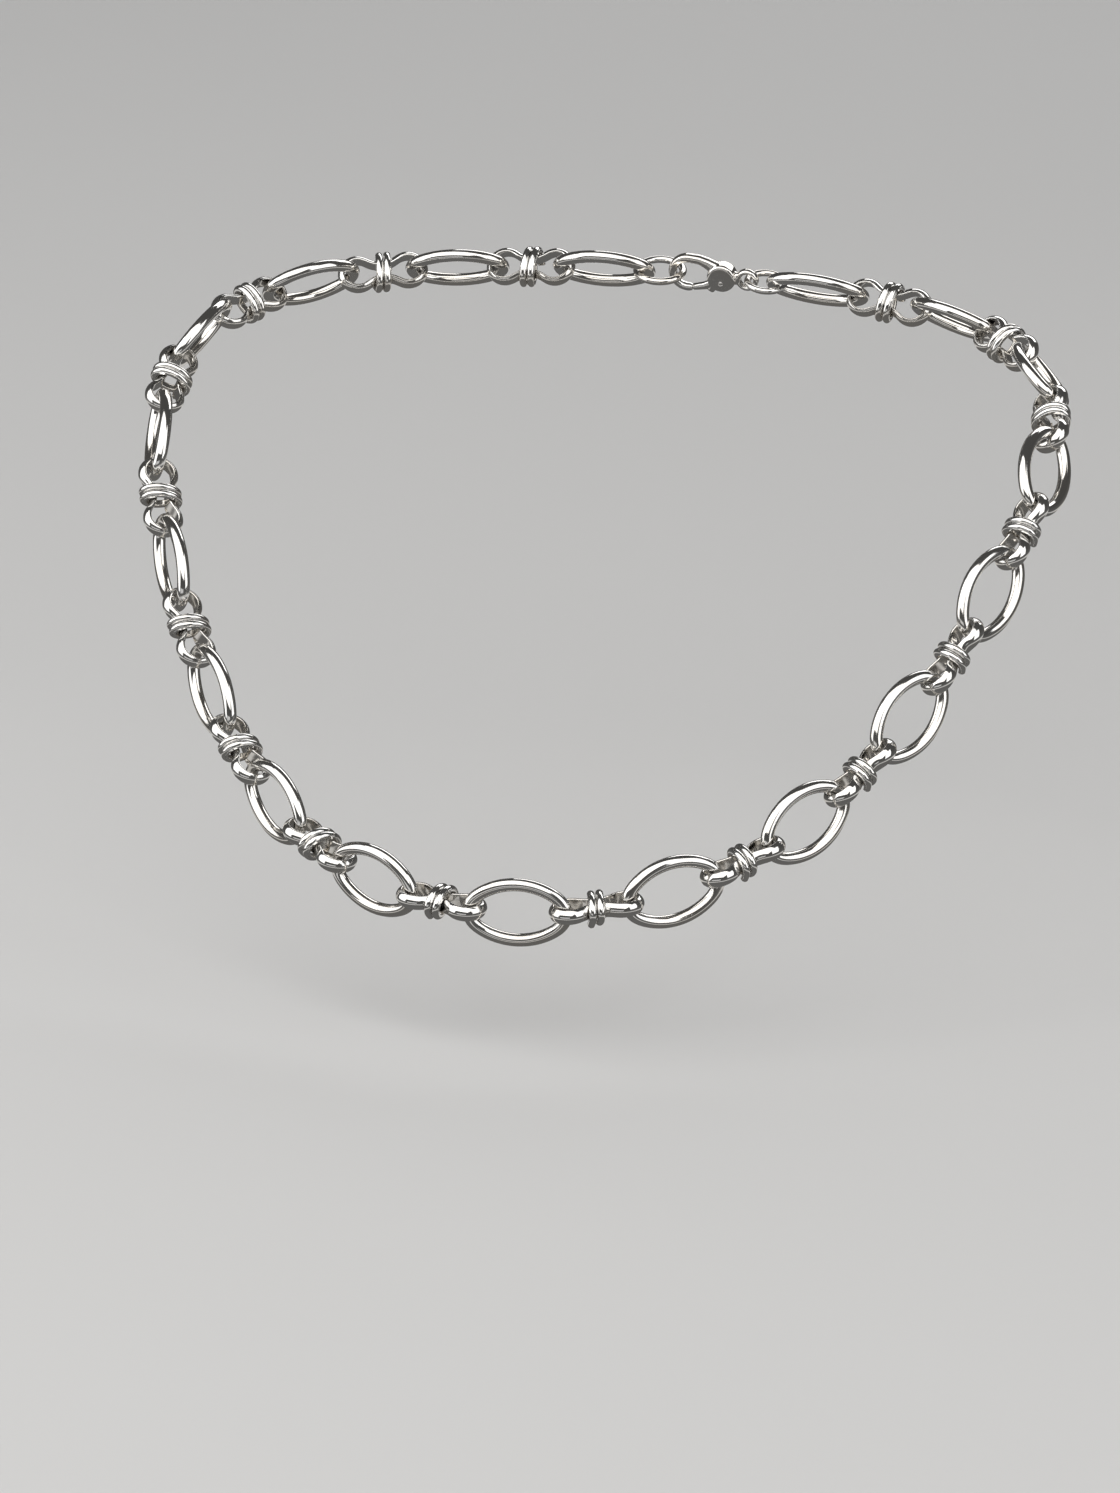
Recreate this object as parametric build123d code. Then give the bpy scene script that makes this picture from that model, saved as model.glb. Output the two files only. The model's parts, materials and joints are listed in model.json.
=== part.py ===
from build123d import *

import os
from math import atan2, cos, degrees, pi, radians, sin, sqrt

# A chain necklace, about 45 cm round, lying in the drape it takes round a neck.
#
# Polished oval links lie flat. Between each pair stands a connector: a strip bent into a closed
# figure-of-eight, whose two rings hold the ovals, with a short wire wound twice round its waist.
# A lobster clasp, a jump ring and an end ring close the chain behind the neck.
#
# Frame: the origin is the nape, on the plane that halves the neck. +X is to the right as the wearer
# is faced, -Y is the front and +Z is up. Millimetres.

# ---- oval links: four tangent arcs of round wire
OVAL_LENGTH = 16.8
OVAL_WIDTH = 11.1
OVAL_WIRE = 2.0
OVAL_END_RADIUS = 3.0  # of the wire's centre line, at the two narrow ends

# ---- connector loops: a strip, flat inside and domed outside, bent into a figure-of-eight
LOOP_LENGTH = 14.6
RING_RADIUS = 3.2  # outside, at both ends of the loop
WAIST_HEIGHT = 3.6  # outside, at the pinched middle
STRIP_WIDTH = 2.4
STRIP_THICKNESS = 1.0
STRIP_EDGE = 0.3  # thickness left at the strip's two edges
STRIP_CHAMFER = 0.15

# ---- connector wraps: a smaller strip wound twice round the waist
WRAP_TURNS = 2
WRAP_STRIP_WIDTH = 1.15
WRAP_STRIP_THICKNESS = 1.0
WRAP_STRIP_EDGE = 0.45
WRAP_PITCH = 1.2
WRAP_INSIDE_WIDTH = 3.2
WRAP_INSIDE_HEIGHT = 4.8
WRAP_GAP = radians(50)  # left between the two cut ends, on the side away from the neck
WRAP_FLARE = 0.35  # how far each cut end stands off

# ---- lobster clasp, measured from where the end ring sits in its hook, towards its eye
HOOK_RADIUS = 1.9  # inside
HOOK_WALL = 1.4
HOOK_DEPTH = 1.7
HEAD_RADIUS = 2.4
HEAD_AT = 7.4
HEAD_DEPTH = 2.6
EYE_AT = 11.5
EYE_RADIUS = 1.0  # inside
EYE_WALL = 0.9
EYE_DEPTH = 1.4
LEVER_DEPTH = 1.2
LEVER_CLEARANCE = 0.06
PIVOT_AT = (7.4, 0.7)
GATE_REACH = 4.9  # from the pivot to the gate's rounded nose
SEAM = 0.01  # the spine runs this far into the hook, so that the two are one solid
PIN_RADIUS = 0.35
PIN_CLEARANCE = 0.03
SPRING_WALL = 0.15
SPRING_LENGTH = 0.5

# ---- rings at the two ends of the chain
JUMP_RING_INSIDE = 4.8
JUMP_RING_WIRE = 1.1
END_RING_INSIDE = 6.2
END_RING_WIRE = 1.2

# ---- the chain as a whole
OVALS_RIGHT_OF_CENTRE = 8
OVALS_LEFT_OF_CENTRE = 9
CENTRE_SHIFT = 2.9  # the middle oval has crept this far to the right
RING_SLACK = 0.35  # left at each end of the jump ring and the end ring
STRIP_AT = 1.4  # the flat of a strip, beyond the centre of the narrow end of the oval it holds
JOINT_AT = 1.0  # the point that the two links turn about, beyond the same centre

# ---- the drape: each coordinate is a short series in the angle round the neck, 0 at the front
DRAPE_ACROSS = (69.0, 0.6, -1.5, 1.8)
DRAPE_BACK = (-59.7, -7.2, 0.7, -3.0)
DRAPE_UP = (-33.4, -9.0, 0.9, 1.8)
SKIN_SIDE, SKIN_FRONT, SKIN_UP, SKIN_FRONT_UP = 0.57, 0.63, 0.28, -0.44
# how far, in radians, the links are rolled about the chain at the front and toward the sides
ROLL_FRONT, ROLL_SIDE = -0.20, -0.11

os.makedirs("parts", exist_ok=True)


# ------------------------------------------------------------------ the drape
def neckline(angle):
    """The point of the chain's line at this angle round the neck."""
    across = sum(a * sin(n * angle) for n, a in enumerate(DRAPE_ACROSS, 1))
    back = sum(b * (cos(n * angle) - cos(n * pi)) for n, b in enumerate(DRAPE_BACK, 1))
    up = sum(c * (cos(n * angle) - cos(n * pi)) for n, c in enumerate(DRAPE_UP, 1))
    return Vector(across, back, up)


def off_the_skin(angle, along):
    """The direction away from the wearer, square to the chain."""
    upward = SKIN_UP + SKIN_FRONT_UP * cos(angle)
    out = Vector(SKIN_SIDE * sin(angle), -SKIN_FRONT * cos(angle), upward)
    skin = (out - along * out.dot(along)).normalized()
    roll = ROLL_FRONT * (1 + cos(angle)) / 2 + ROLL_SIDE * sin(angle)
    return skin * cos(roll) + along.cross(skin) * sin(roll)


def next_angle(point, span, start, way):
    """The angle past start at which the neckline is one span away from the point."""
    near, far = start, start + way * radians(50)
    for _ in range(50):
        middle = (near + far) / 2
        if (neckline(middle) - point).length < span:
            near = middle
        else:
            far = middle
    return far


def walk(start, spans, way):
    """The angles at the ends of links laid one after another along the neckline."""
    angles = [start]
    for span in spans:
        angles.append(next_angle(neckline(angles[-1]), span, angles[-1], way))
    return angles


def link_frame(start, end, angle):
    """A link's own frame: X from one end to the other, Z away from the wearer, origin half way."""
    along = (end - start).normalized()
    return Plane(origin=(start + end) / 2, x_dir=along, z_dir=off_the_skin(angle, along))


# The flat of a strip slides round inside the narrow end of an oval, and its ring rolls round the
# oval's wire. Both turn about nearly the same point, where one link's span ends and the next begins.
END_INSIDE = OVAL_END_RADIUS - OVAL_WIRE / 2
END_BEYOND_JOINT = END_INSIDE - JOINT_AT
OVAL_SPAN = OVAL_LENGTH - 2 * OVAL_WIRE - 2 * END_BEYOND_JOINT
LOOP_SPAN = LOOP_LENGTH - 2 * STRIP_THICKNESS + 2 * (STRIP_AT - JOINT_AT)
UNIT = [LOOP_SPAN, OVAL_SPAN]
JUMP_RING_SPAN = JUMP_RING_INSIDE - 2 * RING_SLACK
END_RING_SPAN = END_RING_INSIDE - 2 * RING_SLACK
CLASP_SPAN = EYE_AT + EYE_RADIUS


def chain_ends():
    """The angles of all the points where links meet, from the left end of the chain to the right."""
    left = (CENTRE_SHIFT - OVAL_SPAN / 2) / sum(n * a for n, a in enumerate(DRAPE_ACROSS, 1))
    last_oval = OVAL_SPAN + END_BEYOND_JOINT
    rightward = [OVAL_SPAN] + UNIT * (OVALS_RIGHT_OF_CENTRE - 1) + [LOOP_SPAN, last_oval]
    leftward = UNIT * (OVALS_LEFT_OF_CENTRE - 1) + [LOOP_SPAN, last_oval]
    return walk(left, leftward, -1)[:0:-1] + walk(left, rightward, 1)


# ------------------------------------------------------------------ shapes of the links
def bend(section, centre, radius, start, sweep, flip=False):
    """A section carried round an arc in the XY plane. Its X points away from the arc's centre."""
    out = Vector(cos(start), sin(start), 0)
    middle = Vector(*centre, 0) + out * radius
    place = Plane(origin=middle, x_dir=out, z_dir=(sin(start), -cos(start), 0))
    if flip:
        section = mirror(section, about=Plane.YZ)
    return revolve(place * section, Axis((*centre, 0), (0, 0, 1)), degrees(sweep))


def d_section(width, thickness, edge, chamfer):
    """A strip's section: flat on the inside, at X = 0, and domed on the outside."""
    half = width / 2
    dome = ThreePointArc((edge, -half), (thickness, 0), (edge, half))
    rim = Polyline(
        (edge, half),
        (chamfer, half),
        (0, half - chamfer),
        (0, chamfer - half),
        (chamfer, -half),
        (edge, -half),
    )
    return make_face(dome + rim)


def oval_link():
    """Four arcs of round wire: two narrow ends and two long sides."""
    half_length = (OVAL_LENGTH - OVAL_WIRE) / 2
    half_width = (OVAL_WIDTH - OVAL_WIRE) / 2
    end_at = half_length - OVAL_END_RADIUS
    rise = end_at**2 + half_width**2 - OVAL_END_RADIUS**2
    side_radius = rise / (2 * (half_width - OVAL_END_RADIUS))
    side_at = side_radius - half_width
    turn = atan2(side_at, end_at)
    wire = Circle(OVAL_WIRE / 2)
    right = bend(wire, (end_at, 0), OVAL_END_RADIUS, -turn, 2 * turn)
    left = bend(wire, (-end_at, 0), OVAL_END_RADIUS, pi - turn, 2 * turn)
    upper = bend(wire, (0, -side_at), side_radius, turn, pi - 2 * turn)
    lower = bend(wire, (0, side_at), side_radius, pi + turn, pi - 2 * turn)
    return right + upper + left + lower


def connector_loop():
    """The figure-of-eight, standing on edge: its rings lie in the XZ plane."""
    ring_at = LOOP_LENGTH / 2 - RING_RADIUS
    half_waist = WAIST_HEIGHT / 2
    waist_radius = (ring_at**2 + half_waist**2 - RING_RADIUS**2) / (2 * (RING_RADIUS - half_waist))
    waist_at = half_waist + waist_radius
    lean = atan2(waist_at, ring_at)
    inside = RING_RADIUS - STRIP_THICKNESS
    strip = d_section(STRIP_WIDTH, STRIP_THICKNESS, STRIP_EDGE, STRIP_CHAMFER)
    right = bend(strip, (ring_at, 0), inside, lean - pi, 2 * (pi - lean))
    left = bend(strip, (-ring_at, 0), inside, lean, 2 * (pi - lean))
    across = waist_radius + STRIP_THICKNESS
    upper = bend(strip, (0, waist_at), across, lean - pi, pi - 2 * lean, flip=True)
    lower = bend(strip, (0, -waist_at), across, lean, pi - 2 * lean, flip=True)
    return Rot(90, 0, 0) * (right + upper + left + lower)


def connector_wrap():
    """The wound strip: two turns round the waist, whose cut ends stand off a little underneath."""
    half = WRAP_STRIP_WIDTH / 2
    edge = WRAP_STRIP_EDGE
    dome = ThreePointArc((edge, -half), (WRAP_STRIP_THICKNESS, 0), (edge, half))
    strip = make_face(dome + Polyline((edge, half), (0, half), (0, -half), (edge, -half)))
    start = pi + WRAP_GAP / 2
    sweep = 2 * pi * WRAP_TURNS - WRAP_GAP

    def point(done):
        angle = start + done * sweep
        nearest_end = min(done, 1 - done) * sweep
        off = WRAP_FLARE * max(0, 1 - nearest_end / radians(40)) ** 2
        along = WRAP_PITCH * WRAP_TURNS * (0.5 - done)
        across = (WRAP_INSIDE_WIDTH / 2 + off) * cos(angle)
        return Vector(along, across, WRAP_INSIDE_HEIGHT / 2 * sin(angle))

    def section(done):
        along = (point(done + 1e-4) - point(done - 1e-4)).normalized()
        angle = start + done * sweep
        out = Vector(0, cos(angle) / WRAP_INSIDE_WIDTH, sin(angle) / WRAP_INSIDE_HEIGHT)
        return Plane(origin=point(done), x_dir=out - along * out.dot(along), z_dir=along) * strip

    steps = 12 * WRAP_TURNS
    return loft([section(n / steps) for n in range(steps + 1)])


def ring(inside, wire):
    """A round ring of round wire, standing on edge in the XZ plane."""
    return Rot(90, 0, 0) * Torus((inside + wire) / 2, wire / 2)


# ------------------------------------------------------------------ the lobster clasp
def slab(outline, depth):
    return extrude(outline, depth / 2, both=True)


def clasp_body():
    """The hook, the head that holds the lever, and the eye. The slot in the head is the lever's."""
    hook_outside = HOOK_RADIUS + HOOK_WALL
    wall = RectangleRounded(HOOK_WALL, HOOK_DEPTH, 0.45)
    hook = bend(wall, (HOOK_RADIUS, 0), HOOK_RADIUS + HOOK_WALL / 2, pi / 2, pi)
    tip = Pos(HOOK_RADIUS + 0.7, HOOK_RADIUS + HOOK_WALL / 2) * Rectangle(1.5, HOOK_WALL)
    tip -= Pos(*PIVOT_AT) * Circle(GATE_REACH + LEVER_CLEARANCE)
    spine = make_face(
        Polyline(
            (HOOK_RADIUS - SEAM, -hook_outside),
            (HEAD_AT - 1.4, 0.4 - hook_outside),
            (HEAD_AT, -1.0),
            (HEAD_AT - 2.6, -HOOK_RADIUS + 0.3),
            (HOOK_RADIUS - SEAM, -HOOK_RADIUS),
            close=True,
        )
    )
    rim = hook + slab(tip, HOOK_DEPTH - 0.3) + slab(spine, HOOK_DEPTH)
    head = slab(Pos(HEAD_AT, 0) * Circle(HEAD_RADIUS), HEAD_DEPTH)
    neck = slab(Pos((HEAD_AT + EYE_AT) / 2, 0) * Rectangle(EYE_AT - HEAD_AT, 2.2), EYE_DEPTH)
    eye = slab(Pos(EYE_AT, 0) * Circle(EYE_RADIUS + EYE_WALL), EYE_DEPTH)
    hole = slab(Pos(EYE_AT, 0) * Circle(EYE_RADIUS), 2 * EYE_DEPTH)
    slot_depth = LEVER_DEPTH + 2 * LEVER_CLEARANCE
    slot = slab(Pos(HEAD_AT - 1.2, 1.6) * Rectangle(5.4, 5.2), slot_depth)
    pin_hole = Pos(*PIVOT_AT) * Cylinder(PIN_RADIUS, 2 * HEAD_DEPTH)
    return rim + (head - slot) + (neck + eye - slot) - hole - pin_hole


def clasp_lever():
    """The gate that closes the hook, with its boss on the pin and its thumb tab."""
    gate = make_face(
        Polyline(
            (HOOK_RADIUS, HOOK_RADIUS + HOOK_WALL - 0.1),
            (PIVOT_AT[0], PIVOT_AT[1] + 1.2),
            (PIVOT_AT[0], PIVOT_AT[1] - 0.6),
            (HOOK_RADIUS, HOOK_RADIUS + 0.15),
            close=True,
        )
    )
    gate = gate & Pos(*PIVOT_AT) * Circle(GATE_REACH)
    boss = Pos(*PIVOT_AT) * Circle(1.2)
    thumb_tab = Pos(PIVOT_AT[0] - 1.9, PIVOT_AT[1] + 2.0) * Circle(0.75)
    lever = slab(gate + boss + thumb_tab, LEVER_DEPTH)
    bore = Pos(*PIVOT_AT) * Cylinder(PIN_RADIUS + PIN_CLEARANCE, LEVER_DEPTH)
    pocket = Pos(*PIVOT_AT, (LEVER_DEPTH - SPRING_LENGTH) / 2) * Cylinder(0.7, SPRING_LENGTH)
    return lever - bore - pocket


def clasp_pin():
    return Pos(*PIVOT_AT) * Cylinder(PIN_RADIUS, HEAD_DEPTH)


def clasp_spring():
    """The little coil round the pin, in the lever's pocket, as the tube that its turns fill."""
    inside = PIN_RADIUS + PIN_CLEARANCE
    coil = Cylinder(inside + SPRING_WALL, SPRING_LENGTH - 0.06) - Cylinder(inside, SPRING_LENGTH)
    return Pos(*PIVOT_AT, (LEVER_DEPTH - SPRING_LENGTH) / 2) * coil


# ------------------------------------------------------------------ laying the chain
def meeting_point(near_end, near_span, far_end, far_span, away):
    """Where two links of these spans meet, on the side that the direction points to."""
    line = far_end - near_end
    along = (near_span**2 - far_span**2 + line.length**2) / (2 * line.length)
    beside = sqrt(near_span**2 - along**2)
    unit = line.normalized()
    return near_end + unit * along + (away - unit * away.dot(unit)).normalized() * beside


def lay_chain():
    """Every link's frame, and the points where they meet, from the left end to the right."""
    angles = chain_ends()
    points = [neckline(a) for a in angles]
    frames = []
    for n in range(len(points) - 1):
        start, end = points[n], points[n + 1]
        along = (end - start).normalized()
        if n == 0:
            start += along * END_BEYOND_JOINT
        if n == len(points) - 2:
            end -= along * END_BEYOND_JOINT
        frames.append(link_frame(start, end, (angles[n] + angles[n + 1]) / 2))
    return points, frames, angles


def lay_clasp(points, angles):
    """The frames of the end ring, the clasp and the jump ring, and the points where they meet."""
    left, right = points[0], points[-1]
    eye = neckline(next_angle(right, JUMP_RING_SPAN, angles[-1], 1))
    hook = meeting_point(left, END_RING_SPAN, eye, CLASP_SPAN, Vector(0, 1, 0.3))
    back = Vector(0, 1, 0.2)

    def frame(origin, start, end):
        along = (end - start).normalized()
        return Plane(origin=origin, x_dir=along, z_dir=back - along * back.dot(along))

    end_ring = frame((hook + left) / 2, left, hook)
    jump_ring = frame((eye + right) / 2, eye, right)
    clasp = frame(hook, hook, eye)
    return end_ring, clasp, jump_ring, hook, eye


def nodes():
    """Every sub-part by name, where it lies."""
    points, frames, angles = lay_chain()
    end_ring_frame, clasp_frame, jump_ring_frame, _, _ = lay_clasp(points, angles)
    oval, loop, wrap = oval_link(), connector_loop(), connector_wrap()
    laid = {}
    for n, frame in enumerate(frames):
        number = f"{n // 2 + 1:02d}"
        if n % 2 == 0:
            laid["oval_link_" + number] = frame.location * oval
        else:
            laid["connector_loop_" + number] = frame.location * loop
            laid["connector_wrap_" + number] = frame.location * wrap
    laid["end_ring"] = end_ring_frame.location * ring(END_RING_INSIDE, END_RING_WIRE)
    laid["jump_ring"] = jump_ring_frame.location * ring(JUMP_RING_INSIDE, JUMP_RING_WIRE)
    laid["clasp_body"] = clasp_frame.location * clasp_body()
    laid["clasp_lever"] = clasp_frame.location * clasp_lever()
    laid["clasp_pin"] = clasp_frame.location * clasp_pin()
    laid["clasp_spring"] = clasp_frame.location * clasp_spring()
    return laid


if __name__ == "__main__":
    for name, shape in nodes().items():
        export_step(shape, f"parts/{name}.step")
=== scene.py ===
import json
from math import atan2, cos, pi, radians, sin, tau

import bpy
import numpy as np
from mathutils import Matrix, Vector

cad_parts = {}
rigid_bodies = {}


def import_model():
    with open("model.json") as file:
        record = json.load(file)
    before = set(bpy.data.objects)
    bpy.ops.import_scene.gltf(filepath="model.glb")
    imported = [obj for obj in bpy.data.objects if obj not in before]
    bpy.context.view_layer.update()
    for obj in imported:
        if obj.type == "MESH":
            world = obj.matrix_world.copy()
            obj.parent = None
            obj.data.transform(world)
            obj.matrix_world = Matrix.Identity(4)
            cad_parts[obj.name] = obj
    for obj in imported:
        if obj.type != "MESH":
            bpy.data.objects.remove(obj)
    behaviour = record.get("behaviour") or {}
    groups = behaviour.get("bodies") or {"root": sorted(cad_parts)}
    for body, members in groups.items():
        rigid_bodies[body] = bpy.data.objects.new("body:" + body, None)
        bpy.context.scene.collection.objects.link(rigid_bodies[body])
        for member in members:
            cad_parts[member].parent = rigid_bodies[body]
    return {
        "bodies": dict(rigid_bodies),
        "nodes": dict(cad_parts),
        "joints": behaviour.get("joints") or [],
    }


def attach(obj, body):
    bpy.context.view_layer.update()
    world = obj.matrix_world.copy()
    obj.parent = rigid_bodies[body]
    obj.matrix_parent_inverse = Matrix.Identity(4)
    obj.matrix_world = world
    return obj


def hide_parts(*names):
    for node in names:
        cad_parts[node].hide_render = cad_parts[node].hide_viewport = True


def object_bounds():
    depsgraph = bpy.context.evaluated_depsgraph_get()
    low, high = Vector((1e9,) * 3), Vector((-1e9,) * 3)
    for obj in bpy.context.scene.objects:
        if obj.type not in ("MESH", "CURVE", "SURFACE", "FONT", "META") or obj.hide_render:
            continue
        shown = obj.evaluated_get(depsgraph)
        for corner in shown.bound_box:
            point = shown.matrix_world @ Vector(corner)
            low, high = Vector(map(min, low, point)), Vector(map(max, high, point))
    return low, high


# A necklace of polished oval links and wrapped figure-of-eight connectors. Every detailed piece is
# made once or a few times in its own frame, in millimetres, and laid where its CAD node lies.
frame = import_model()
cad_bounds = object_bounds()
MM = 0.001

# ---- sizes of the links, as in the CAD model, in millimetres
OVAL_LENGTH, OVAL_WIDTH, OVAL_WIRE, OVAL_END_RADIUS = 16.8, 11.1, 2.0, 3.0
LOOP_LENGTH, RING_RADIUS, WAIST_HEIGHT = 14.6, 3.2, 3.6
STRIP_WIDTH, STRIP_THICKNESS, STRIP_EDGE = 2.4, 1.0, 0.3
STRIP_ROOM = 0.07  # taken off the width, so that the strips clear the ovals at the ends of their swing
WRAP_TURNS, WRAP_PITCH, WRAP_GAP, WRAP_FLARE = 2, 1.2, radians(50), 0.35
WRAP_WIDTH, WRAP_THICKNESS, WRAP_EDGE = 1.15, 1.0, 0.45
WRAP_INSIDE_WIDTH, WRAP_INSIDE_HEIGHT = 3.2, 4.8
JUMP_RING_INSIDE, JUMP_RING_WIRE, JUMP_RING_CUT = 4.8, 1.1, 0.03
END_RING_INSIDE, END_RING_WIRE, END_RING_CUT = 6.2, 1.2, 0.015
HOOK_RADIUS, HOOK_WALL = 1.9, 1.4
HEAD_AT, HEAD_RADIUS, HEAD_DEPTH = 7.4, 2.4, 2.6
EYE_AT, EYE_RADIUS, EYE_WALL, EYE_DEPTH = 11.5, 1.0, 0.9, 1.4
PIVOT_AT, PIN_RADIUS, LEVER_DEPTH = (7.4, 0.7), 0.35, 1.2
CLASP_SPAN = EYE_AT + EYE_RADIUS

# ---- how the handwork varies from piece to piece, in millimetres
OVAL_SHAPES, WRAP_SHAPES, FIRST_WRAP_SEED = 4, 5, 20
UNEVEN, WANDER = 0.015, 0.06
FLARE_REACH = radians(40)  # how far round the wrap its cut ends stand off
INNER_EASE, OUTER_EASE = 0.2, 0.07  # the rounding of a strip's flat side and of its domed side


# ------------------------------------------------------------------ where the CAD nodes lie
def moments(node):
    """The centroid of a node's surface, and its principal axes, the shortest one first."""
    mesh = frame["nodes"][node].data
    mesh.calc_loop_triangles()
    corners = np.array([v.co for v in mesh.vertices])
    corners = corners[[t.vertices[:] for t in mesh.loop_triangles]]
    one_side, other_side = corners[:, 1] - corners[:, 0], corners[:, 2] - corners[:, 0]
    area = np.linalg.norm(np.cross(one_side, other_side), axis=1)
    middle = corners.mean(axis=1)
    centroid = (middle * area[:, None]).sum(axis=0) / area.sum()
    corners, middle = corners - centroid, middle - centroid
    spread = np.einsum("t,tki,tkj->ij", area, corners, corners)
    spread += 9 * np.einsum("t,ti,tj->ij", area, middle, middle)
    axes = np.linalg.eigh(spread)[1].T
    return Vector(centroid), [Vector(a) for a in axes]


def placed(origin, x, z):
    """The matrix that lays a piece made in millimetres in the frame with this X and Z."""
    y = z.cross(x).normalized()
    x = y.cross(z).normalized()
    turn = Matrix((x, y, z.normalized())).transposed()
    return Matrix.Translation(origin) @ turn.to_4x4()


JOINT = {j["child"]: Vector(j["pos_m"]) for j in frame["joints"]}
MIDDLE = (cad_bounds[0] + cad_bounds[1]) / 2


def link_frame(node, body, flat):
    """A link's frame: X towards the end that it hangs from, and Z away from the neck."""
    origin, (shortest, middle, longest) = moments(node)
    out = shortest if flat else middle
    x = longest if longest.dot(JOINT[body] - origin) > 0 else -longest
    z = out if out.dot(origin - MIDDLE) > 0 else -out
    return placed(origin, x, z)


# ------------------------------------------------------------------ outlines and sweeps
def arc(centre, radius, start, sweep, spacing=0.12):
    """Points round an arc, all but the last."""
    count = max(4, round(abs(sweep) * radius / spacing))
    angles = start + sweep * np.arange(count) / count
    x, y = centre[0] + radius * np.cos(angles), centre[1] + radius * np.sin(angles)
    return np.stack([x, y], axis=1)


def even(points, count):
    """The closed outline again, as evenly spaced points."""
    closed = np.vstack([points, points[:1]])
    run = np.concatenate([[0], np.cumsum(np.linalg.norm(np.diff(closed, axis=0), axis=1))])
    wanted = np.arange(count) / count * run[-1]
    return np.stack([np.interp(wanted, run, closed[:, k]) for k in range(2)], axis=1)


def softened(points, count, blur):
    """The outline with its curvature eased over this many points, in the same box."""
    points = even(points, count)
    low, high = points.min(axis=0), points.max(axis=0)
    ripple = np.fft.fft(points, axis=0)
    wave = np.fft.fftfreq(count)[:, None] * tau
    eased = np.fft.ifft(ripple * np.exp(-(wave * blur) ** 2 / 2), axis=0).real
    grown = (high - low) / (eased.max(axis=0) - eased.min(axis=0))
    return (eased - eased.mean(axis=0)) * grown + (low + high) / 2


def outward(points):
    """The outward normals of a closed outline that runs anticlockwise."""
    along = np.roll(points, -1, axis=0) - np.roll(points, 1, axis=0)
    along /= np.linalg.norm(along, axis=1)[:, None]
    return np.stack([along[:, 1], -along[:, 0]], axis=1)


def rounded(corners, radii, steps=4, beside=1.5):
    """A closed outline with eased corners. On each flat a point stays, this many radii along it."""
    outline = []
    count = len(corners)
    corners = [np.array(c, float) for c in corners]
    for n, (corner, radius) in enumerate(zip(corners, radii)):
        if radius == 0:
            outline.append(corner)
            continue
        back, on = corners[n - 1] - corner, corners[(n + 1) % count] - corner
        back, on = back / np.linalg.norm(back), on / np.linalg.norm(on)
        outline.append(corner + back * radius * beside)
        for t in np.linspace(0, 1, steps + 1):
            outline.append(corner + back * radius * (1 - t) ** 2 + on * radius * t**2)
        outline.append(corner + on * radius * beside)
    return np.array(outline)


def d_section(width, thickness, edge):
    """A strip's section, (outward, sideways): flat inside and domed outside."""
    half = width / 2
    rise = thickness - edge
    radius = (half**2 + rise**2) / (2 * rise)
    reach = np.arcsin(half / radius)
    angles = np.linspace(-reach, reach, 19)
    dome = [(thickness - radius + radius * cos(a), radius * sin(a)) for a in angles]
    corners = [(0, half), (0, -half)] + dome
    radii = [INNER_EASE, INNER_EASE, OUTER_EASE] + [0] * (len(dome) - 2) + [OUTER_EASE]
    return rounded(corners, radii)


def round_section(radius, count=28):
    """The section of a round wire."""
    angles = np.arange(count) / count * tau
    return np.stack([radius * np.cos(angles), radius * np.sin(angles)], axis=1)


def grid_mesh(name, grid, closed, cap=None):
    """A mesh over rings of points, in metres. An open one is closed flat, or eased by cap."""
    if cap:
        grid = capped(grid, cap)
    rings, around = grid.shape[:2]
    faces = []
    for i in range(rings if closed else rings - 1):
        for j in range(around):
            a, b = i * around + j, i * around + (j + 1) % around
            c, d = (i + 1) % rings * around + (j + 1) % around, (i + 1) % rings * around + j
            faces.append((a, b, c, d))
    if not closed:
        faces.append(tuple(range(around))[::-1])
        faces.append(tuple((rings - 1) * around + j for j in range(around)))
    mesh = bpy.data.meshes.new(name)
    mesh.from_pydata((grid.reshape(-1, 3) * MM).tolist(), [], faces)
    mesh.validate()
    mesh.polygons.foreach_set("use_smooth", [True] * len(mesh.polygons))
    if volume(mesh) < 0:
        mesh.flip_normals()
    return mesh


def capped(grid, cap):
    """The rings of an open sweep with its two ends drawn in over an eased rim of this size."""
    ends = []
    for ring, beside in ((grid[0], grid[1]), (grid[-1], grid[-2])):
        middle = ring.mean(axis=0)
        along = middle - beside.mean(axis=0)
        along /= np.linalg.norm(along)
        reach = np.linalg.norm(ring - middle, axis=1).mean()
        inset = 1.6 * cap
        rim = [
            middle + (ring - middle) * (1 - cap * (1 - cos(t)) / reach) + along * cap * (sin(t) - 1)
            for t in np.linspace(0, pi / 2, 5)
        ]
        rim.append(middle + (ring - middle) * (1 - inset / reach))
        ends.append(rim)
    return np.concatenate([np.array(ends[0][::-1]), grid[1:-1], np.array(ends[1])])


def volume(mesh):
    """Six times the volume inside the mesh, below zero where its faces look inwards."""
    mesh.calc_loop_triangles()
    corners = np.array([v.co for v in mesh.vertices])[[t.vertices[:] for t in mesh.loop_triangles]]
    return np.einsum("ij,ij->i", corners[:, 0], np.cross(corners[:, 1], corners[:, 2])).sum()


def swept(path, out, side, section):
    """Rings of points: the section carried along the path, its first measure outwards."""
    return (
        path[:, None]
        + section[None, :, 0, None] * out[:, None]
        + section[None, :, 1, None] * side[:, None]
    )


def in_xy(points):
    """Flat points laid in the XY plane."""
    return np.column_stack([points, np.zeros(len(points))])


def in_xz(points):
    """Flat points stood up in the XZ plane."""
    return np.column_stack([points[:, 0], np.zeros(len(points)), points[:, 1]])


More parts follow.
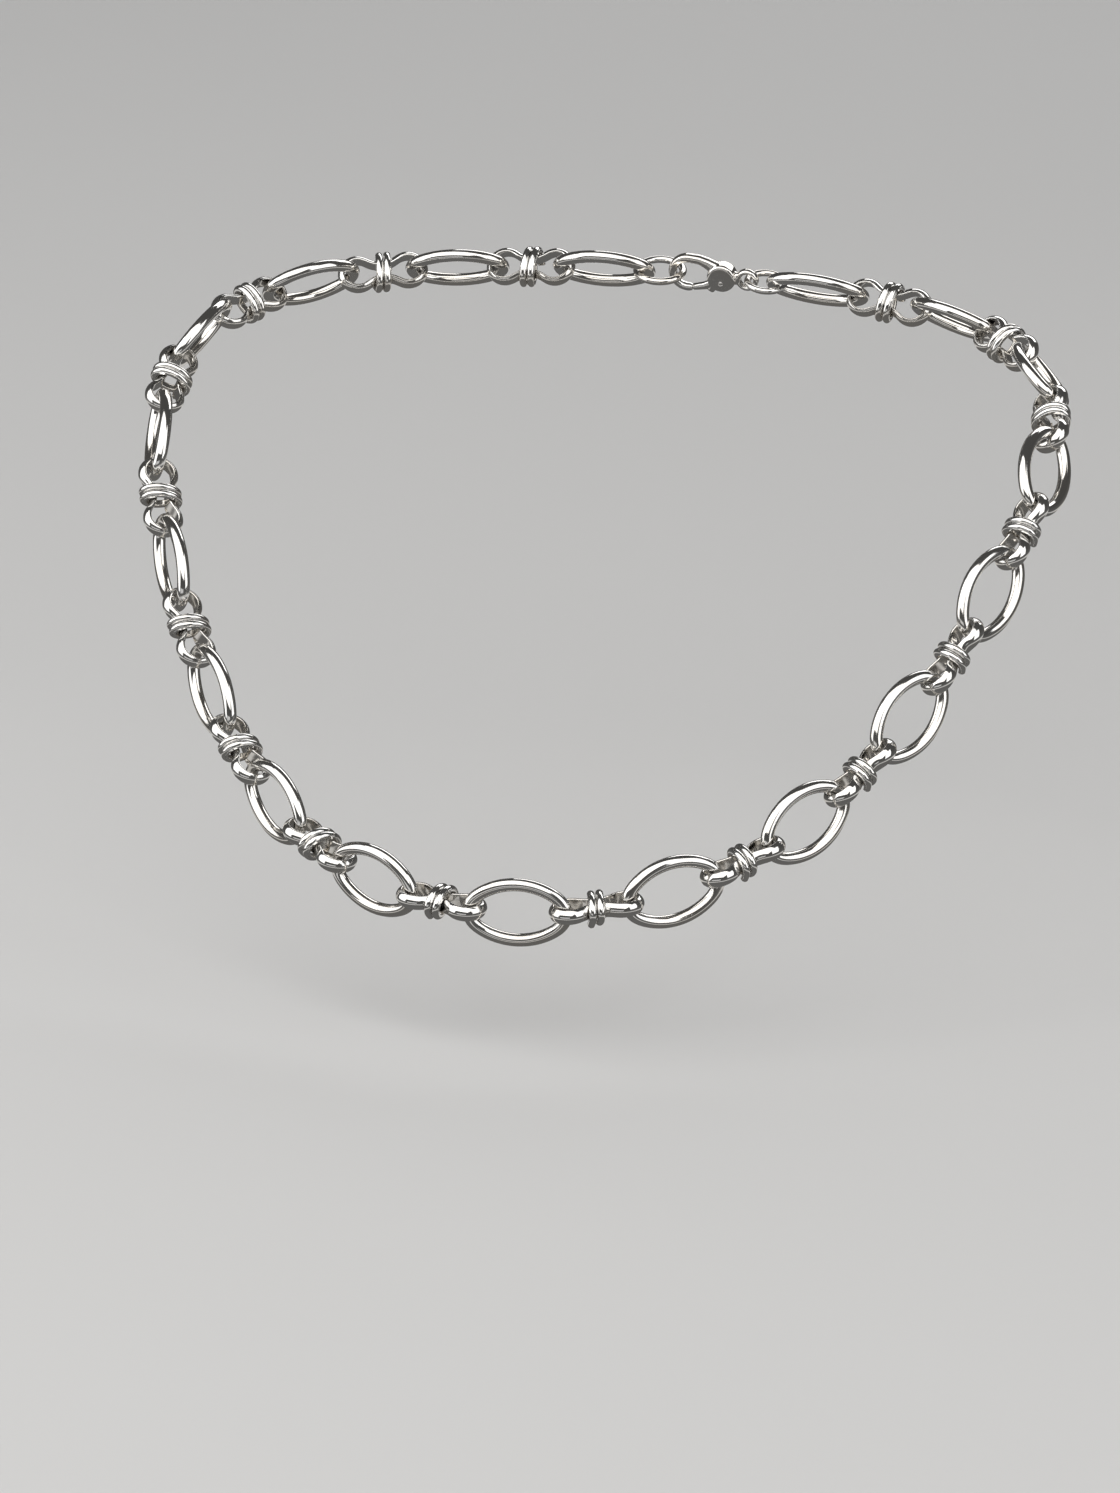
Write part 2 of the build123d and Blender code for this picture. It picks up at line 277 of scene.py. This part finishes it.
# ------------------------------------------------------------------ the links
def oval_mesh(name, seed):
    """Four arcs of round wire, drawn by hand over a mandrel: very slightly uneven."""
    rng = np.random.default_rng(seed)
    half_length, half_width = (OVAL_LENGTH - OVAL_WIRE) / 2, (OVAL_WIDTH - OVAL_WIRE) / 2
    end_at = half_length - OVAL_END_RADIUS
    rise = end_at**2 + half_width**2 - OVAL_END_RADIUS**2
    side_radius = rise / (2 * (half_width - OVAL_END_RADIUS))
    side_at = side_radius - half_width
    turn = atan2(side_at, end_at)
    outline = np.vstack(
        [
            arc((end_at, 0), OVAL_END_RADIUS, -turn, 2 * turn),
            arc((0, -side_at), side_radius, turn, pi - 2 * turn),
            arc((-end_at, 0), OVAL_END_RADIUS, pi - turn, 2 * turn),
            arc((0, side_at), side_radius, pi + turn, pi - 2 * turn),
        ]
    )
    outline = softened(outline, 176, 4)
    turns = np.arange(len(outline)) / len(outline) * tau
    for order in (2, 3, 5):
        uneven = rng.uniform(-UNEVEN, UNEVEN) / order * np.cos(order * turns + rng.uniform(0, tau))
        outline = outline * (1 + uneven[:, None] / half_width)
    path, normal = in_xy(outline), in_xy(outward(outline))
    side = np.tile((0.0, 0.0, 1.0), (len(path), 1))
    grid = swept(path, normal, side, round_section(OVAL_WIRE / 2, 32))
    return grid_mesh(name, grid, closed=True)


def loop_mesh(name):
    """A strip bent into a peanut: two rings with a pinched waist."""
    ring_at = LOOP_LENGTH / 2 - RING_RADIUS
    half_waist = WAIST_HEIGHT / 2
    waist_radius = (ring_at**2 + half_waist**2 - RING_RADIUS**2) / (2 * (RING_RADIUS - half_waist))
    waist_at = half_waist + waist_radius
    lean = atan2(waist_at, ring_at)
    inside = RING_RADIUS - STRIP_THICKNESS
    across = waist_radius + STRIP_THICKNESS
    outline = np.vstack(
        [
            arc((ring_at, 0), inside, lean - pi, 2 * (pi - lean)),
            arc((0, waist_at), across, -lean, 2 * lean - pi),
            arc((-ring_at, 0), inside, lean, 2 * (pi - lean)),
            arc((0, -waist_at), across, pi - lean, 2 * lean - pi),
        ]
    )
    outline = softened(outline, 224, 3)
    path, normal = in_xz(outline), in_xz(outward(outline))
    side = np.tile((0.0, 1.0, 0.0), (len(path), 1))
    section = d_section(STRIP_WIDTH - STRIP_ROOM, STRIP_THICKNESS, STRIP_EDGE)
    return grid_mesh(name, swept(path, normal, side, section), closed=True)


def wrap_mesh(name, seed):
    """The small strip wound twice round the waist, with its two cut ends left standing off."""
    rng = np.random.default_rng(seed)
    start, sweep = pi + WRAP_GAP / 2, tau * WRAP_TURNS - WRAP_GAP
    done = np.linspace(0, 1, 180)
    wander, phase = rng.uniform(-WANDER, WANDER), rng.uniform(0, tau)

    def line(t):
        """Where the strip runs, from its first cut end at 0 to its last at 1."""
        angle = start + t * sweep
        off = WRAP_FLARE * np.clip(1 - np.minimum(t, 1 - t) * sweep / FLARE_REACH, 0, None) ** 2
        along = WRAP_PITCH * WRAP_TURNS * (0.5 - t) + wander * np.sin(angle + phase)
        across = (WRAP_INSIDE_WIDTH / 2 + off) * np.cos(angle)
        return np.stack([along, across, WRAP_INSIDE_HEIGHT / 2 * np.sin(angle)], axis=1)

    path = line(done)
    angle = start + done * sweep
    step = 1e-4
    along = line(done + step) - line(done - step)
    along /= np.linalg.norm(along, axis=1)[:, None]
    across, up = np.cos(angle) / WRAP_INSIDE_WIDTH, np.sin(angle) / WRAP_INSIDE_HEIGHT
    out = np.stack([0 * angle, across, up], axis=1)
    out -= along * np.einsum("ij,ij->i", out, along)[:, None]
    out /= np.linalg.norm(out, axis=1)[:, None]
    section = d_section(WRAP_WIDTH, WRAP_THICKNESS, WRAP_EDGE)
    grid = swept(path, out, np.cross(along, out), section)
    return grid_mesh(name, grid, closed=False, cap=0.1)


def ring_mesh(name, inside, wire, gap):
    """A ring of round wire on edge, with the fine cut where it was closed."""
    radius = (inside + wire) / 2
    angles = np.linspace(gap / radius / 2, tau - gap / radius / 2, 140)
    out = np.stack([np.cos(angles), 0 * angles, np.sin(angles)], axis=1)
    side = np.tile((0.0, 1.0, 0.0), (len(angles), 1))
    grid = swept(out * radius, out, side, round_section(wire / 2))
    return grid_mesh(name, grid, closed=False, cap=0.05)


# ------------------------------------------------------------------ the lobster clasp
def evaluated(obj, name):
    """The object's mesh with its modifiers applied; the object itself is removed."""
    graph = bpy.context.evaluated_depsgraph_get()
    graph.update()
    mesh = bpy.data.meshes.new_from_object(obj.evaluated_get(graph))
    mesh.name = name
    bpy.data.objects.remove(obj)
    return mesh


def loose(mesh):
    """The mesh as an object of its own, for modifiers to work on."""
    obj = bpy.data.objects.new("loose", mesh)
    bpy.context.scene.collection.objects.link(obj)
    return obj


def joined(meshes):
    """One mesh made of several closed ones, overlapping as they do."""
    points, faces = [], []
    for mesh in meshes:
        faces += [tuple(i + len(points) for i in p.vertices) for p in mesh.polygons]
        points += [v.co[:] for v in mesh.vertices]
    whole = bpy.data.meshes.new("joined")
    whole.from_pydata(points, [], faces)
    return whole


def cast(name, meshes, voxel, rounds, cuts=()):
    """The meshes melted into one casting, with smooth blends, less the cuts."""
    obj = loose(joined(meshes))
    melt = obj.modifiers.new("melt", "REMESH")
    melt.mode, melt.voxel_size = "VOXEL", voxel * MM
    ease = obj.modifiers.new("ease", "SMOOTH")
    ease.iterations, ease.factor = rounds, 0.5
    for cut in cuts:
        tool = loose(cut)
        less = obj.modifiers.new("less", "BOOLEAN")
        less.operation, less.solver, less.object = "DIFFERENCE", "EXACT", tool
    if cuts:
        again = obj.modifiers.new("again", "REMESH")
        again.mode, again.voxel_size = "VOXEL", voxel * 0.7 * MM
        soft = obj.modifiers.new("soft", "SMOOTH")
        soft.iterations, soft.factor = 3, 0.5
    mesh = evaluated(obj, name)
    for tool in [o for o in bpy.data.objects if o.name.startswith("loose")]:
        bpy.data.objects.remove(tool)
    mesh.polygons.foreach_set("use_smooth", [True] * len(mesh.polygons))
    return mesh


def bar(name, path, widths, depths, squareness=2.6):
    """A closed bar along a path in the XY plane, its section a soft-cornered box that varies."""
    path, widths, depths = (np.array(v, float) for v in (path, widths, depths))
    run = np.concatenate([[0], np.cumsum(np.linalg.norm(np.diff(path, axis=0), axis=1))])
    wanted = np.linspace(0, run[-1], max(8, round(run[-1] / 0.12)))
    line = np.stack([np.interp(wanted, run, path[:, k]) for k in range(2)], axis=1)
    widths, depths = np.interp(wanted, run, widths), np.interp(wanted, run, depths)
    along = np.gradient(line, axis=0)
    along /= np.linalg.norm(along, axis=1)[:, None]
    out = in_xy(np.stack([along[:, 1], -along[:, 0]], axis=1))
    angles = np.arange(32) / 32 * tau
    power = 2 / squareness
    u = np.sign(np.cos(angles)) * np.abs(np.cos(angles)) ** power
    v = np.sign(np.sin(angles)) * np.abs(np.sin(angles)) ** power
    grid = (
        in_xy(line)[:, None]
        + (widths[:, None] / 2 * u[None])[:, :, None] * out[:, None]
        + (depths[:, None] / 2 * v[None])[:, :, None] * np.array([0, 0, 1.0])
    )
    return grid_mesh(name, grid, closed=False, cap=0.2)


def turned(name, centre, profile, count=64):
    """A solid of revolution about Z: the profile is (radius, height) from bottom to top."""
    angles = np.arange(count) / count * tau
    profile = np.array(profile, float)
    grid = np.stack(
        [
            centre[0] + profile[:, :1] * np.cos(angles),
            centre[1] + profile[:, :1] * np.sin(angles),
            np.repeat(profile[:, 1:], count, axis=1),
        ],
        axis=2,
    )
    return grid_mesh(name, grid, closed=False)


def pill(radius, depth, ease):
    """The (radius, height) profile of a round plate with eased rims."""
    half = depth / 2
    quarter = np.linspace(0, pi / 2, 6)
    rim = [(radius - ease + ease * sin(t), half - ease + ease * cos(t)) for t in quarter]
    lower = [(r, -z) for r, z in rim]
    return [(radius * 0.5, -half)] + lower + rim[::-1] + [(radius * 0.5, half)]


def block(low, high):
    """A plain box, only ever used as a cutting tool."""
    xs, ys, zs = zip(low, high)
    points = [(x, y, z) for x in xs for y in ys for z in zs]
    faces = [(0, 1, 3, 2), (4, 6, 7, 5), (0, 4, 5, 1), (2, 3, 7, 6), (0, 2, 6, 4), (1, 5, 7, 3)]
    mesh = bpy.data.meshes.new("block")
    mesh.from_pydata([[c * MM for c in p] for p in points], [], faces)
    return mesh


def claw_mesh():
    """The clasp's casting: hook, head and eye, with the slot for the gate and the rivet's bore."""
    middle = HOOK_RADIUS + HOOK_WALL / 2
    tip = [(2.72, middle - 0.05), (2.2, middle)]
    steps = 40
    bend = np.linspace(pi / 2, 3 * pi / 2, steps)
    hook = [(HOOK_RADIUS + middle * cos(a), middle * sin(a)) for a in bend]
    spine = [(3.6, -middle + 0.06), (5.0, -2.05), (6.2, -1.35), (7.2, -0.5)]
    path = tip + hook + spine
    last = steps - 1
    widths = [1.0, 1.25] + [1.25 + 0.15 * n / last for n in range(steps)] + [1.45, 1.75, 2.3, 2.8]
    depths = [1.2, 1.4] + [1.5 + 0.2 * n / last for n in range(steps)] + [1.75, 1.9, 2.1, 2.3]
    shapes = [
        bar("hook", path, widths, depths),
        turned("head", (HEAD_AT, 0), pill(HEAD_RADIUS - 0.05, HEAD_DEPTH - 0.06, 0.5)),
        bar("neck", [(8.2, 0), (9.6, 0), (10.4, 0)], [3.4, 2.2, 1.9], [2.1, 1.5, 1.35]),
        eye_ring(),
    ]
    slot_half = LEVER_DEPTH / 2 + 0.06
    slot = block((3.6, -0.9, -slot_half), (8.85, 4.3, slot_half))
    bore = turned("bore", PIVOT_AT, [(PIN_RADIUS, -2), (PIN_RADIUS, 2)], 32)
    return cast("claw", shapes, 0.09, 5, (slot, bore))


def eye_ring():
    """The eye at the end of the clasp: a stout round ring."""
    radius = EYE_RADIUS + EYE_WALL / 2
    count = 72
    angles = np.arange(count) / count * tau
    out = np.stack([np.cos(angles), np.sin(angles), 0 * angles], axis=1)
    section = round_section(1, 20) * (EYE_WALL / 2, EYE_DEPTH / 2)
    side = np.tile((0.0, 0.0, 1.0), (count, 1))
    return grid_mesh("eye", swept(out * radius + (EYE_AT, 0, 0), out, side, section), closed=True)


def gate_mesh():
    """The sprung gate: a bar from the rivet to the hook's tip, with its thumb tab."""
    x, y = PIVOT_AT
    nose = (2.72, 2.55)
    gate = bar("gate", [nose, (4.6, 2.05), (6.4, 1.25), (x, y)], [1.0, 1.25, 1.6, 1.8], [1.12] * 4)
    boss = turned("boss", PIVOT_AT, pill(1.15, LEVER_DEPTH - 0.02, 0.15))
    tab = bar("tab", [(x - 1.2, y + 0.8), (x - 1.9, y + 2.05)], [1.6, 1.35], [1.16, 1.16])
    bore = turned("bore", PIVOT_AT, [(PIN_RADIUS + 0.03, -1), (PIN_RADIUS + 0.03, 1)], 32)
    return cast("gate", [gate, boss, tab], 0.07, 3, (bore,))


def rivet_mesh():
    """The rivet through the head, its two ends set a little domed."""
    half, radius = HEAD_DEPTH / 2, PIN_RADIUS
    top = [(radius, half - 0.12), (0.94 * radius, half - 0.06)]
    top += [(0.7 * radius, half - 0.02), (0.3 * radius, half)]
    profile = [(r, -z) for r, z in top[::-1]] + top
    return turned("rivet", PIVOT_AT, profile, 40)


def coil_mesh():
    """The small spring wound round the rivet inside the gate's pocket."""
    turns, wire, radius = 3, 0.065, PIN_RADIUS + 0.1
    t = np.linspace(0, 1, 120)
    low, high = 0.2, 0.5
    angles = tau * turns * t
    out = np.stack([np.cos(angles), np.sin(angles), 0 * t], axis=1)
    path = out * radius + (*PIVOT_AT, 0)
    path[:, 2] += low + (high - low) * t
    side = np.tile((0.0, 0.0, 1.0), (len(t), 1))
    grid = swept(path, out, side, round_section(wire, 12))
    return grid_mesh("coil", grid, closed=False, cap=0.02)


def clasp_frame():
    """The clasp's frame: its origin in the hook, X towards its eye, Z along the rivet."""
    lever = next(j for j in frame["joints"] if j["child"] == "lever")
    pivot, eye = Vector(lever["pos_m"]), JOINT["jump_ring"]
    z = Vector(lever["axis"]).normalized()
    arm = (pivot - eye).normalized()
    lean = atan2(PIVOT_AT[1], PIVOT_AT[0] - CLASP_SPAN)
    x = Matrix.Rotation(-lean, 3, z) @ arm
    return placed(eye - x * CLASP_SPAN * MM, x, z)


# ------------------------------------------------------------------ materials
SILVER, SPRING_GREY = (0.93, 0.92, 0.90), (0.6, 0.6, 0.61)
# multiplied into the colour: over the pits, and as painted shade in the recesses
PIT_AND_SHADE_TONE = (0.42, 0.40, 0.38, 1)


def polished(name, tint, rough, waviness, scratches, recess=0.55):
    """Mirror-polished plating: faint waviness, hairline scratches, pits, hazier recesses, and painted
    shade that darkens the recesses.
    """
    material = bpy.data.materials.new(name)
    material.use_nodes = True
    nodes, links = material.node_tree.nodes, material.node_tree.links
    shader = nodes["Principled BSDF"]
    shader.inputs["Metallic"].default_value = 1.0
    place = nodes.new("ShaderNodeTexCoord").outputs["Object"]

    def node(kind, **values):
        """A shader node with these inputs and settings."""
        made = nodes.new("ShaderNode" + kind)
        for key, value in values.items():
            if key in made.inputs:
                made.inputs[key].default_value = value
            else:
                setattr(made, key, value)
        return made

    def ramp(source, low, high, start, end):
        """The source's stretch from low to high, as a value from start to end."""
        made = node("MapRange")
        links.new(source, made.inputs["Value"])
        stretch = {"From Min": low, "From Max": high, "To Min": start, "To Max": end}
        for key, value in stretch.items():
            made.inputs[key].default_value = value
        return made.outputs["Result"]

    def noise(scale, detail, stretch=(1, 1, 1), turn=(0, 0, 0)):
        """Noise in the piece's own space, drawn out where stretch is small."""
        mapped = node("Mapping")
        links.new(place, mapped.inputs["Vector"])
        mapped.inputs["Scale"].default_value = [scale * s for s in stretch]
        mapped.inputs["Rotation"].default_value = turn
        made = node("TexNoise", Scale=1.0, Detail=detail)
        links.new(mapped.outputs["Vector"], made.inputs["Vector"])
        return made.outputs["Fac"]

    # hairlines left by the polishing wheel, in two directions
    hair_a = noise(900, 2, (0.05, 1, 1), (0.3, 0.2, 0.5))
    hair_b = noise(1100, 2, (1, 0.06, 1), (0.1, 0.6, -0.4))
    hairs = node("Math", operation="MULTIPLY")
    links.new(ramp(hair_a, 0.62, 0.75, 0, 1), hairs.inputs[0])
    links.new(ramp(hair_b, 0.4, 0.7, 0.3, 1), hairs.inputs[1])
    pits = node("TexVoronoi", Scale=1400.0)
    links.new(place, pits.inputs["Vector"])
    pit = ramp(pits.outputs["Distance"], 0.05, 0.14, 1, 0)
    thin = node("Math", operation="MULTIPLY")
    links.new(pit, thin.inputs[0])
    links.new(ramp(noise(160, 1), 0.6, 0.68, 0, 1), thin.inputs[1])

    # roughness: clean on the crowns, hazier in patches and along the hairlines
    haze = ramp(noise(220, 3), 0.35, 0.7, rough * 0.75, rough * 1.5)
    lined = node("Math", operation="MULTIPLY_ADD")
    links.new(hairs.outputs["Value"], lined.inputs[0])
    lined.inputs[1].default_value = 0.12 * scratches
    links.new(haze, lined.inputs[2])
    near = node("AmbientOcclusion", Distance=0.9 * MM, samples=6)
    # ambient occlusion, high in recesses: it hazes the roughness, and further down it paints shade
    # into the colour
    occlusion_mask = ramp(near.outputs["AO"], 0.15, 0.8, 1, 0)
    hazed = node("Math", operation="MULTIPLY_ADD")
    links.new(occlusion_mask, hazed.inputs[0])
    hazed.inputs[1].default_value = 0.1 * recess
    links.new(lined.outputs["Value"], hazed.inputs[2])
    links.new(hazed.outputs["Value"], shader.inputs["Roughness"])

    # colour: bright plating, a little warmer in patches, darker in the pits, and darkened with painted
    # shade where ambient occlusion finds a recess
    patches = node("Mix", data_type="RGBA")
    patches.inputs["A"].default_value = (*tint, 1)
    patches.inputs["B"].default_value = (tint[0], tint[1] * 0.975, tint[2] * 0.94, 1)
    links.new(ramp(noise(90, 2), 0.42, 0.62, 0, 1), patches.inputs["Factor"])
    dark = node("Mix", data_type="RGBA", blend_type="MULTIPLY")
    links.new(patches.outputs["Result"], dark.inputs["A"])
    dark.inputs["B"].default_value = PIT_AND_SHADE_TONE
    # painted shade in the recesses, added to the real pits
    amount = node("Math", operation="MULTIPLY_ADD")
    links.new(occlusion_mask, amount.inputs[0])
    amount.inputs[1].default_value = recess
    links.new(thin.outputs["Value"], amount.inputs[2])
    links.new(amount.outputs["Value"], dark.inputs["Factor"])
    links.new(dark.outputs["Result"], shader.inputs["Base Color"])

    # relief: slow waves of the polish, then hairlines and pits
    waves = node("Bump", Strength=waviness, Distance=0.06 * MM)
    links.new(noise(420, 1), waves.inputs["Height"])
    lines = node("Bump", Strength=0.25 * scratches, Distance=0.01 * MM, invert=True)
    links.new(hairs.outputs["Value"], lines.inputs["Height"])
    links.new(waves.outputs["Normal"], lines.inputs["Normal"])
    holes = node("Bump", Strength=0.5, Distance=0.02 * MM, invert=True)
    links.new(thin.outputs["Value"], holes.inputs["Height"])
    links.new(lines.outputs["Normal"], holes.inputs["Normal"])
    links.new(holes.outputs["Normal"], shader.inputs["Normal"])
    return material


OVAL_METAL = polished("oval_metal", SILVER, rough=0.085, waviness=0.25, scratches=0.6)
STRIP_METAL = polished("strip_metal", SILVER, rough=0.1, waviness=0.5, scratches=0.8)
WRAP_METAL = polished("wrap_metal", SILVER, rough=0.1, waviness=0.5, scratches=0.8)
RING_METAL = polished("ring_metal", SILVER, rough=0.08, waviness=0.3, scratches=0.7)
CLASP_METAL = polished("clasp_cast_metal", SILVER, rough=0.1, waviness=0.8, scratches=1.0)
STEEL = polished("spring_wire", SPRING_GREY, rough=0.22, waviness=0.2, scratches=1.0)


# ------------------------------------------------------------------ laying the pieces
def lay(name, mesh, matrix, body, node, material):
    """Puts a detailed piece where its CAD node lies, and hides the node."""
    if not mesh.materials:
        mesh.materials.append(material)
    obj = bpy.data.objects.new(name, mesh)
    bpy.context.scene.collection.objects.link(obj)
    obj.matrix_world = matrix
    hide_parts(node)
    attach(obj, body)
    return obj


ovals = [oval_mesh(f"oval_shape_{n}", n) for n in range(OVAL_SHAPES)]
loop = loop_mesh("loop_shape")
wraps = [wrap_mesh(f"wrap_shape_{n}", FIRST_WRAP_SEED + n) for n in range(WRAP_SHAPES)]
for body in frame["bodies"]:
    kind, _, number = body.rpartition("_")
    if kind == "oval":
        oval_node = "oval_link_" + number
        place = link_frame(oval_node, body, flat=True)
        shape = ovals[int(number) % len(ovals)]
        lay("wire_oval_" + number, shape, place, body, oval_node, OVAL_METAL)
    if kind == "connector":
        loop_node, wrap_node = "connector_loop_" + number, "connector_wrap_" + number
        place = link_frame(loop_node, body, flat=False)
        lay("strip_loop_" + number, loop, place, body, loop_node, STRIP_METAL)
        shape = wraps[int(number) % len(wraps)]
        lay("wound_strip_" + number, shape, place, body, wrap_node, WRAP_METAL)

for body, inside, wire, gap in (
    ("jump_ring", JUMP_RING_INSIDE, JUMP_RING_WIRE, JUMP_RING_CUT),
    ("end_ring", END_RING_INSIDE, END_RING_WIRE, END_RING_CUT),
):
    origin, (axis, *_) = moments(body)
    reach = JOINT[body] - origin
    place = placed(origin, reach.normalized(), axis.cross(reach))
    mesh = ring_mesh(body + "_shape", inside, wire, gap)
    lay("round_" + body, mesh, place, body, body, RING_METAL)

place = clasp_frame()
lay("claw_casting", claw_mesh(), place, "clasp", "clasp_body", CLASP_METAL)
lay("claw_gate", gate_mesh(), place, "lever", "clasp_lever", CLASP_METAL)
lay("claw_rivet", rivet_mesh(), place, "clasp", "clasp_pin", CLASP_METAL)
lay("claw_coil", coil_mesh(), place, "clasp", "clasp_spring", STEEL)


# ------------------------------------------------------------------ floor, lights and camera
FLOOR_AT = cad_bounds[0].z - 16 * MM
FLOOR_REACH = 6.0
FLOOR_TONES = (0.7, 0.73)
BACKDROP = (0.7, 0.7, 0.7, 1)
# what the metal mirrors: the height, from 0 straight down to 1 straight up, and the brightness there
GLOW = ((0.0, 0.12), (0.23, 0.11), (0.26, 0.55), (0.3, 0.55), (0.33, 0.1), (0.65, 0.06))
WARM, WHITE = (1.0, 0.985, 0.96), (1.0, 1.0, 1.0)
# name, azimuth and elevation in degrees, distance, width and height in metres, watts, tint
LIGHTS = (
    ("key", -20, 56, 0.9, 1.7, 1.1, 8.0, WARM),
    ("left", -72, 20, 0.9, 0.8, 0.9, 2.8, WHITE),
    ("right", 66, 26, 0.9, 0.7, 0.9, 2.4, WHITE),
    ("rim_back", 170, 32, 1.2, 1.0, 0.5, 3.0, WHITE),
    ("front_card", -14, -4, 1.6, 1.5, 0.35, 0.8, WHITE),
)


def floor():
    """A large pale floor with a barely mottled surface."""
    mesh = bpy.data.meshes.new("floor")
    square = ((-1, -1), (1, -1), (1, 1), (-1, 1))
    corners = [(x * FLOOR_REACH, y * FLOOR_REACH, FLOOR_AT) for x, y in square]
    mesh.from_pydata(corners, [], [(0, 1, 2, 3)])
    obj = bpy.data.objects.new("floor", mesh)
    bpy.context.scene.collection.objects.link(obj)
    material = bpy.data.materials.new("pale_floor")
    material.use_nodes = True
    nodes, links = material.node_tree.nodes, material.node_tree.links
    shader = nodes["Principled BSDF"]
    shader.inputs["Roughness"].default_value = 0.9
    shader.inputs["Specular IOR Level"].default_value = 0.1
    mottle = nodes.new("ShaderNodeTexNoise")
    mottle.inputs["Scale"].default_value = 60
    tone = nodes.new("ShaderNodeMapRange")
    tone.inputs["To Min"].default_value, tone.inputs["To Max"].default_value = FLOOR_TONES
    links.new(mottle.outputs["Fac"], tone.inputs["Value"])
    links.new(tone.outputs["Result"], shader.inputs["Base Color"])
    mesh.materials.append(material)
    obj.visible_glossy = False


def towards(azimuth, elevation):
    """The direction from the necklace to a viewer at this azimuth and elevation."""
    a, e = radians(azimuth), radians(elevation)
    return Vector((sin(a) * cos(e), -cos(a) * cos(e), sin(e)))


def softbox(name, azimuth, elevation, distance, width, height, watts, tint):
    """A rectangular soft light aimed at the middle of the necklace."""
    back = towards(azimuth, elevation)
    data = bpy.data.lights.new(name, "AREA")
    data.shape, data.size, data.size_y = "RECTANGLE", width, height
    data.energy, data.color = watts, tint
    obj = bpy.data.objects.new(name, data)
    bpy.context.scene.collection.objects.link(obj)
    obj.location = MIDDLE + back * distance
    obj.rotation_mode = "QUATERNION"
    obj.rotation_quaternion = (-back).to_track_quat("-Z", "Y")


def surroundings():
    """A studio, pale to look at, that the metal mirrors as a dark room with a bright band low down."""
    world = bpy.data.worlds.new("studio")
    bpy.context.scene.world = world
    world.use_nodes = True
    nodes, links = world.node_tree.nodes, world.node_tree.links
    background = nodes["Background"]
    direction = nodes.new("ShaderNodeTexCoord")
    split = nodes.new("ShaderNodeSeparateXYZ")
    links.new(direction.outputs["Generated"], split.inputs["Vector"])
    height = nodes.new("ShaderNodeMapRange")
    height.inputs["From Min"].default_value = -1
    links.new(split.outputs["Z"], height.inputs["Value"])
    room = nodes.new("ShaderNodeValToRGB")
    links.new(height.outputs["Result"], room.inputs["Fac"])
    stops = room.color_ramp.elements
    stops.remove(stops[1])
    for level, glow in GLOW:
        stop = stops[0] if level == 0 else stops.new(level)
        stop.position, stop.color = level, (*(glow * tint for tint in WARM), 1)
    seen = nodes.new("ShaderNodeLightPath")
    mix = nodes.new("ShaderNodeMix")
    mix.data_type = "RGBA"
    links.new(room.outputs["Color"], mix.inputs["A"])
    mix.inputs["B"].default_value = BACKDROP
    links.new(seen.outputs["Is Camera Ray"], mix.inputs["Factor"])
    links.new(mix.outputs["Result"], background.inputs["Color"])


# angles in degrees; the camera looks a little aside of and below its target
CAMERA_TARGET = Vector((0, -60, -30)) * MM
CAMERA_AZIMUTH, CAMERA_ELEVATION, CAMERA_ROLL = 11.4, 19.4, -0.5
CAMERA_DISTANCE, CAMERA_LENS, SENSOR_WIDTH = 1.395, 216.6, 36
AIM_RIGHT, AIM_UP = -2.4 * MM, -27.6 * MM


def camera():
    """The photo's view, from in front and a little above."""
    back = towards(CAMERA_AZIMUTH, CAMERA_ELEVATION)
    right = towards(CAMERA_AZIMUTH + 90, 0)
    up = back.cross(right)
    data = bpy.data.cameras.new("camera")
    data.lens, data.sensor_width = CAMERA_LENS, SENSOR_WIDTH
    data.clip_start, data.clip_end = 0.01, 50
    obj = bpy.data.objects.new("camera", data)
    bpy.context.scene.collection.objects.link(obj)
    obj.location = CAMERA_TARGET + back * CAMERA_DISTANCE
    look = (CAMERA_TARGET + right * AIM_RIGHT + up * AIM_UP - obj.location).normalized()
    obj.rotation_mode = "QUATERNION"
    turn = look.to_track_quat("-Z", "Y")
    obj.rotation_quaternion = Matrix.Rotation(radians(CAMERA_ROLL), 3, look).to_quaternion() @ turn
    bpy.context.scene.camera = obj


floor()
surroundings()
for light in LIGHTS:
    softbox(*light)
camera()
bpy.context.scene.view_settings.view_transform = "Standard"
